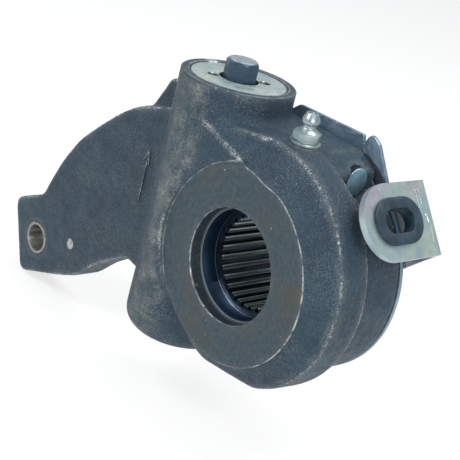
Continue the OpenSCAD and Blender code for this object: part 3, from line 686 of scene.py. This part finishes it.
def cut_faces(co):
    """1 on surfaces that a tool has cut, 0 on the raw casting, with a soft border."""
    x, y, z = co.T
    r_cam = np.hypot(x, z)
    r_worm = np.hypot(x - WORM.x / MM, y - WORM.y / MM)
    r_eye = np.hypot(x - EYE.x / MM, z - EYE.z / MM)
    r_nipple = np.hypot(x - NIPPLE.x / MM, y - NIPPLE.y / MM)
    r_plug = np.hypot(y - PLUG.y / MM, z - PLUG.z / MM)
    face_r = FACE_R / MM
    for place, rise, spread in FACE_WAVES:
        face_r = face_r + rise * smoothstep(spread, 0.0, np.hypot(x - place[0], z - place[2]))
    cuts = [
        # Front face, and the opening and chamber behind it
        smoothstep(1.6, 0.5, y) * smoothstep(face_r + 0.6, face_r, r_cam),
        smoothstep(34.0, 32.0, r_cam) * (y > -1),
        # Rim and bore of the worm tube
        smoothstep(TUBE_TOP / MM - 1.6, TUBE_TOP / MM - 0.5, z) * (r_worm < 30),
        smoothstep(CAP_R / MM + 1.2, CAP_R / MM + 0.3, r_worm) * (z > -45),
        # Seat of the gasket, eye of the lever, and seats of the nipple and the plug
        smoothstep(REAR_Y / MM - 1.4, REAR_Y / MM - 0.4, y),
        smoothstep(10.2, 8.6, r_eye) * (x < -100),
        smoothstep(8.4, 7.2, r_nipple) * smoothstep(NIPPLE_BASE / MM - 1.6, NIPPLE_BASE / MM - 0.6, z),
        smoothstep(PLUG_R / MM + 3.0, PLUG_R / MM + 1.4, r_plug) * (x > PLUG.x / MM - 4),
    ]
    return np.max(cuts, axis=0)


def crest_distance(co):
    """Distance of each point from the shoulder's crest line, in millimetres."""
    start, end = (np.array(p) / MM for p in SHOULDER)
    run = end - start
    share = np.clip((co - start) @ run / (run @ run), 0.0, 1.0)
    return np.linalg.norm(co - start - share[:, None] * run, axis=1)


def grain_noise(co):
    """Cheap layered value noise for the casting skin, about -1 to 1."""
    total = np.zeros(len(co))
    for scale, weight in ((0.55, 0.6), (1.1, 0.4)):
        q = co * scale
        cell = np.floor(q).astype(np.int64)
        f = q - cell
        f = f * f * (3 - 2 * f)
        layer = np.zeros(len(co))
        for corner in range(8):
            step = np.array([corner & 1, corner >> 1 & 1, corner >> 2 & 1])
            k = (cell + step) @ np.array([73856093, 19349663, 83492791])
            k = (k ^ (k >> 13)) * 1274126177 & 0x7FFFFFFF
            share = np.prod(np.where(step, f, 1 - f), axis=1)
            layer += share * (k / 0x3FFFFFFF - 1.0)
        total += weight * layer
    return total


def add_web(bm, side):
    """Fillet between the lever and the tube, on the front (side -1) or the rear (side 1)."""
    axis = Vector((WORM.x, WORM.y))
    face_y = WORM.y + side * ARM_HALF
    centre_y = face_y + side * WEB_R
    centre = Vector((axis.x - math.sqrt((TUBE_R + WEB_R) ** 2 - (centre_y - axis.y) ** 2), centre_y))
    on_tube = centre + (axis - centre).normalized() * WEB_R
    start = math.atan2(-side, 0.0)
    end = math.atan2(on_tube.y - centre.y, on_tube.x - centre.x)
    turns = [start + (end - start) * i / WEB_STEPS for i in range(WEB_STEPS + 1)]
    outline = [centre + Vector((math.cos(t), math.sin(t))) * WEB_R for t in turns]
    inward = (on_tube - axis).normalized()
    left = Vector((-1.0, 0.0))
    outline += [axis + run.normalized() * WEB_ROOT_R for run in (inward, inward + left, left)]
    outline.append(Vector((centre.x, axis.y)))

    def ring(heights):
        reach = axis.x - centre.x
        return [bm.verts.new((p.x, p.y, heights[0] + (heights[1] - heights[0]) * (axis.x - p.x) / reach))
                for p in outline]
    low = ring(WEB_LOW)
    high = ring(WEB_HIGH[side])
    for i in range(len(outline)):
        j = (i + 1) % len(outline)
        bm.faces.new((low[i], low[j], high[j], high[i]))
    bm.faces.new(high)
    bm.faces.new(low[::-1])


def webbed(solid):
    """A copy of the casting with its webs, as overlapping closed shells for the voxel step."""
    mesh = solid.copy()
    bm = bmesh.new()
    bm.from_mesh(mesh)
    for side in (-1, 1):
        add_web(bm, side)
    bmesh.ops.recalc_face_normals(bm, faces=bm.faces)
    bm.to_mesh(mesh)
    bm.free()
    return mesh


def make_casting():
    """The cast housing: a voxel skin over the solid and its webs, smoothed where no tool has cut it."""
    solid = welded("housing")
    faces = BVHTree.FromPolygons([v.co for v in solid.vertices], [p.vertices for p in solid.polygons])
    mesh = applied(webbed(solid), "REMESH", mode="VOXEL", voxel_size=VOXEL * MM)
    skin = Surface(mesh)
    cut = cut_faces(skin.co)
    raw = 1.0 - cut
    skin.relax(np.ones(skin.count), FIRST_PASSES)
    skin.relax(raw, EDGE_PASSES)
    bend = skin.blur(skin.bend(), 3)
    ridge = np.clip(skin.blur(smoothstep(*RIDGE_BEND, bend), 2) * 2.0, 0.0, 1.0)
    hollow = np.clip(skin.blur(smoothstep(*HOLLOW_BEND, bend), 12) * 3.0, 0.0, 1.0) * raw * (1.0 - ridge)
    skin.relax(hollow, HOLLOW_PASSES)
    skin.relax(raw, LAST_PASSES)
    skin.settle(faces, np.maximum(cut, smoothstep(*CREST_HELD, crest_distance(skin.co))))
    skin.co += skin.normals() * (GRAIN_HEIGHT * raw * grain_noise(skin.co))[:, None]
    skin.write()
    ratio = min(1.0, FACE_TARGET / max(1, len(mesh.polygons)))
    shown = (cut > 0.02) & ((skin.co[:, 1] < FACE_KEPT) | (skin.co[:, 2] > TUBE_TOP / MM - RIM_KEPT))
    shown |= crest_distance(skin.co) < CREST_KEPT
    thin = np.flatnonzero(~shown).tolist()
    mesh = applied(mesh, "DECIMATE", thin, ratio=ratio, vertex_group="members", vertex_group_factor=1000.0)
    skin = Surface(mesh)
    bend = skin.blur(skin.bend(), 1)
    cut = cut_faces(skin.co)
    crest = CREST_WEAR * smoothstep(*CREST_WORN, crest_distance(skin.co))
    wear = np.maximum(smoothstep(*WORN_BEND, bend), crest)
    skin.store("wear", wear * (1.0 - cut))
    # Tan dust on rubbed ridges, and on the foremost parts dust with a painted highlight
    ridge = RUBBED_SHARE * skin.blur(smoothstep(*RUBBED_BEND, skin.blur(bend, 5)), 4)
    front_highlight = smoothstep(*FRONT_HIGHLIGHT_DEPTH, skin.co[:, 1]) * (1.0 - cut)
    skin.store("dust_and_highlight", np.maximum(ridge, front_highlight))
    # Mask of painted shade in the hollows, read by the casting look
    skin.store("hollow", smoothstep(*HOLLOW_SHADE_BEND, bend))
    skin.store("machined", cut)
    mesh.shade_smooth()
    mesh.set_sharp_from_angle(angle=CASTING_SHARP)
    return new_piece("casting", mesh, "lever", "casting", "casting", "housing")


# Raised marks

# Depth of a mark's foot under its face, and how far below their highest point marks are worn
MARK_FOOT = 0.3 * MM
MARK_WORN = 0.35


def stroke(bm, start, end, normal, half, rise):
    """A low rounded bar from start to end, standing on a face with this normal."""
    run = (end - start).normalized()
    across = run.cross(normal).normalized()
    rings = []
    for lift, share in ((-MARK_FOOT, 1.2), (0.0, 1.1), (rise * 0.7, 0.8), (rise, 0.35)):
        ring = []
        for base, sign in ((start, -1), (end, 1)):
            for turn in (-1, 1):
                place = base + run * half * share * sign + across * half * share * turn * sign + normal * lift
                ring.append(bm.verts.new(place))
        rings.append(ring)
    for low, high in zip(rings, rings[1:]):
        for i in range(4):
            j = (i + 1) % 4
            bm.faces.new((low[i], low[j], high[j], high[i]))
    bm.faces.new(rings[-1])
    bm.faces.new(rings[0][::-1])


def raised_piece(name, strokes, normal, half, rise, body, look, slot):
    """A piece of low bars, worn along their tops."""
    bm = bmesh.new()
    for start, end in strokes:
        stroke(bm, start, end, normal, half, rise)
    bmesh.ops.recalc_face_normals(bm, faces=bm.faces)
    mesh = bpy.data.meshes.new(name)
    bm.to_mesh(mesh)
    bm.free()
    mesh = applied(mesh, "SUBSURF", levels=2, render_levels=2)
    mesh.shade_smooth()
    marks = Surface(mesh)
    lift = marks.co @ np.array(normal)
    marks.store("wear", smoothstep(lift.max() - MARK_WORN, lift.max(), lift))
    return new_piece(name, mesh, body, look, slot)


def make_arrow():
    """Turning direction arrow on the lever's front face."""
    def on_arm(x, z):
        return Vector((x * MM, ARM_FRONT, z * MM))
    tip = on_arm(-73.7, 16.7)
    strokes = [(on_arm(-74.0, -8.0), tip), (tip, on_arm(-76.1, 11.7)), (tip, on_arm(-72.3, 9.9))]
    front = Vector((0, -1, 0))
    raised_piece("direction_arrow", strokes, front, half=0.55 * MM, rise=0.6 * MM,
                 body="lever", look="casting", slot="casting")


def make_bend_marks():
    """Forming marks beside the bend of the control arm."""
    def on_tab(y, w):
        return TAB_NORMAL * TAB_DISTANCE + TAB_ACROSS * w * MM + TAB_ALONG * y * MM
    strokes = [(on_tab(42.9, 11.0), on_tab(43.1, 3.8)), (on_tab(44.6, 11.3), on_tab(44.8, 3.6)),
               (on_tab(47.0, -2.4), on_tab(46.4, -9.2))]
    raised_piece("bend_marks", strokes, TAB_NORMAL, half=0.4 * MM, rise=0.35 * MM,
                 body="control", look="arm", slot="zinc_steel")
    pip = [(on_tab(46.0, 1.0), on_tab(46.3, -1.4))]
    raised_piece("bend_pip", pip, TAB_NORMAL, half=1.0 * MM, rise=0.7 * MM,
                 body="control", look="arm", slot="zinc_steel")


# Pieces with a changed form


def make_rack_spring():
    """Return spring of the rack, as a loose shaded copy of its node that keeps its modelled length; the real
    spring shortens between the rack's bore and the plug as the rack slides.
    """
    mesh = welded("rack_spring")
    mesh.shade_smooth()
    spring = loose_piece("rack_spring_coil", mesh, "spring")
    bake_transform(spring)
    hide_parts("rack_spring")


def border_share(run, rise):
    """Share of its reach by which a point of the bush's flange moves, to make an even border of the slot."""
    reach = math.hypot(run, rise)
    turn = math.atan2(abs(rise), abs(run))
    old = min(BUSH_R, BUSH_FLAT / max(math.sin(turn), 1e-6))
    if BORDER_R * math.cos(turn) <= BORDER_RUN * math.sin(turn):
        new = BORDER_R / math.sin(turn)
    else:
        new = BORDER_RUN * math.cos(turn) + math.sqrt(BORDER_R ** 2 - (BORDER_RUN * math.sin(turn)) ** 2)
    return (new / old - 1.0) * float(smoothstep(*BORDER_FROM, reach / old))


def round_bush_flange(piece):
    """Gives the bush's outer flange round ends, at one distance from its slot."""
    low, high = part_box("arm_bush")
    middle = TAB_ALONG * (low.y + high.y) / 2
    bm = bmesh.new()
    bm.from_mesh(piece.data)
    for step in FLANGE_CUTS:
        every = bm.verts[:] + bm.edges[:] + bm.faces[:]
        bmesh.ops.bisect_plane(bm, geom=every, plane_co=middle + TAB_ALONG * step * MM, plane_no=TAB_ALONG)
    for vertex in bm.verts:
        if vertex.co.dot(TAB_NORMAL) > TAB_DISTANCE:
            run = (vertex.co - middle).dot(TAB_ALONG)
            rise = vertex.co.dot(TAB_ACROSS)
            vertex.co += (TAB_ALONG * run + TAB_ACROSS * rise) * border_share(run / MM, rise / MM)
    bm.to_mesh(piece.data)
    bm.free()


def raise_cap_head(piece):
    """Brings the cap's head up into the chamfer of the tube, close to flush with the rim."""
    for vertex in piece.data.vertices:
        lift = float(smoothstep(*CAP_DEPTH, vertex.co.z - cap_high.z))
        out = vertex.co.xy - WORM.xy
        if out.length > CAP_R - CAP_RIM:
            vertex.co.xy += out.normalized() * CAP_SPREAD * lift
        vertex.co.z += CAP_RISE * lift


# Assembly

# Bevel widths of the pieces that replace their nodes, in millimetres, and 0 for edges left sharp
BEVELS = {
    "worm_cap": 0.35, "control_arm": 0, "arm_bush": 0.35, "cover_plate": 0.25, "grease_nipple": 0.25,
    "nipple_washer": 0.3, "rack_plug": 0.4, "eye_bush": 0.5, "retaining_ring": 0.2, "cover_screws": 0.2,
    "worm_wheel": 0.15, "gasket": 0.15,
}
RESHAPED = {"worm_cap": raise_cap_head, "arm_bush": round_bush_flange}

make_casting()
make_arrow()
make_bend_marks()
make_rack_spring()
for node, look in NODE_LOOK.items():
    obj = NODES[node]
    obj.data.materials.clear()
    obj.data.materials.append(LOOKS[look])
for node, width in BEVELS.items():
    piece = finished(node, width, NODE_LOOK[node])
    if node in RESHAPED:
        RESHAPED[node](piece)


# Stage, light and camera

def make_floor():
    """White floor that glows for the camera and in reflections, and takes a soft shadow."""
    level = CAD_BOX[0][2] - FLOOR_DROP
    corners = [(x * FLOOR_SIZE, y * FLOOR_SIZE, level) for x, y in ((-1, -1), (1, -1), (1, 1), (-1, 1))]
    mesh = bpy.data.meshes.new("floor")
    mesh.from_pydata(corners, [], [(0, 1, 2, 3)])
    floor = bpy.data.objects.new("floor", mesh)
    bpy.context.scene.collection.objects.link(floor)
    mat = bpy.data.materials.new("floor")
    mat.use_nodes = True
    tree = mat.node_tree
    tree.nodes.clear()
    out = tree.nodes.new("ShaderNodeOutputMaterial")
    diffuse = tree.nodes.new("ShaderNodeBsdfDiffuse")
    diffuse.inputs["Color"].default_value = FLOOR_COLOUR
    glow = tree.nodes.new("ShaderNodeEmission")
    glow.inputs["Color"].default_value = (1, 1, 1, 1)
    path = tree.nodes.new("ShaderNodeLightPath")
    seen = path.outputs["Is Camera Ray"]
    for kind in ("Is Glossy Ray", "Is Transmission Ray"):
        either = tree.nodes.new("ShaderNodeMath")
        either.operation = "MAXIMUM"
        tree.links.new(seen, either.inputs[0])
        tree.links.new(path.outputs[kind], either.inputs[1])
        seen = either.outputs[0]
    share = tree.nodes.new("ShaderNodeMath")
    share.operation = "MULTIPLY"
    share.inputs[1].default_value = FLOOR_GLOW
    tree.links.new(seen, share.inputs[0])
    mix = tree.nodes.new("ShaderNodeMixShader")
    tree.links.new(share.outputs[0], mix.inputs[0])
    tree.links.new(diffuse.outputs[0], mix.inputs[1])
    tree.links.new(glow.outputs[0], mix.inputs[2])
    tree.links.new(mix.outputs[0], out.inputs["Surface"])
    mesh.materials.append(mat)


def make_lamp(name, place, size, power):
    """A round area lamp aimed at the part."""
    data = bpy.data.lights.new(name, "AREA")
    data.shape = "DISK"
    data.size = size
    data.energy = power
    lamp = bpy.data.objects.new(name, data)
    bpy.context.scene.collection.objects.link(lamp)
    lamp.location = place
    lamp.rotation_euler = (Vector(LAMP_TARGET) - Vector(place)).to_track_quat("-Z", "Y").to_euler()


def make_world():
    """Pale even light from all round."""
    world = bpy.data.worlds.new("studio")
    bpy.context.scene.world = world
    world.use_nodes = True
    background = world.node_tree.nodes["Background"]
    background.inputs["Color"].default_value, background.inputs["Strength"].default_value = BACKGROUND


def make_camera():
    """The camera of the photograph, as fitted."""
    azimuth, elevation, roll = (math.radians(v) for v in (CAMERA_AZIMUTH, CAMERA_ELEVATION, CAMERA_ROLL))
    back = Vector((math.sin(azimuth) * math.cos(elevation), -math.cos(azimuth) * math.cos(elevation),
                   math.sin(elevation)))
    right = Vector((math.cos(azimuth), math.sin(azimuth), 0))
    up = back.cross(right)
    turned_right = right * math.cos(roll) - up * math.sin(roll)
    turned_up = right * math.sin(roll) + up * math.cos(roll)
    place = back * CAMERA_DISTANCE - turned_right * CAMERA_OFFSET[0] - turned_up * CAMERA_OFFSET[1]
    data = bpy.data.cameras.new("camera")
    data.sensor_width = SENSOR
    data.lens = SENSOR * CAMERA_FOCAL_PX / FRAME_PX
    camera = bpy.data.objects.new("camera", data)
    bpy.context.scene.collection.objects.link(camera)
    camera.matrix_world = Matrix.Translation(place * MM) @ Matrix(
        (turned_right, turned_up, back)).transposed().to_4x4()
    bpy.context.scene.camera = camera


make_floor()
make_world()
for lamp in LAMPS:
    make_lamp(*lamp)
make_camera()
bpy.context.scene.view_settings.view_transform = "Standard"
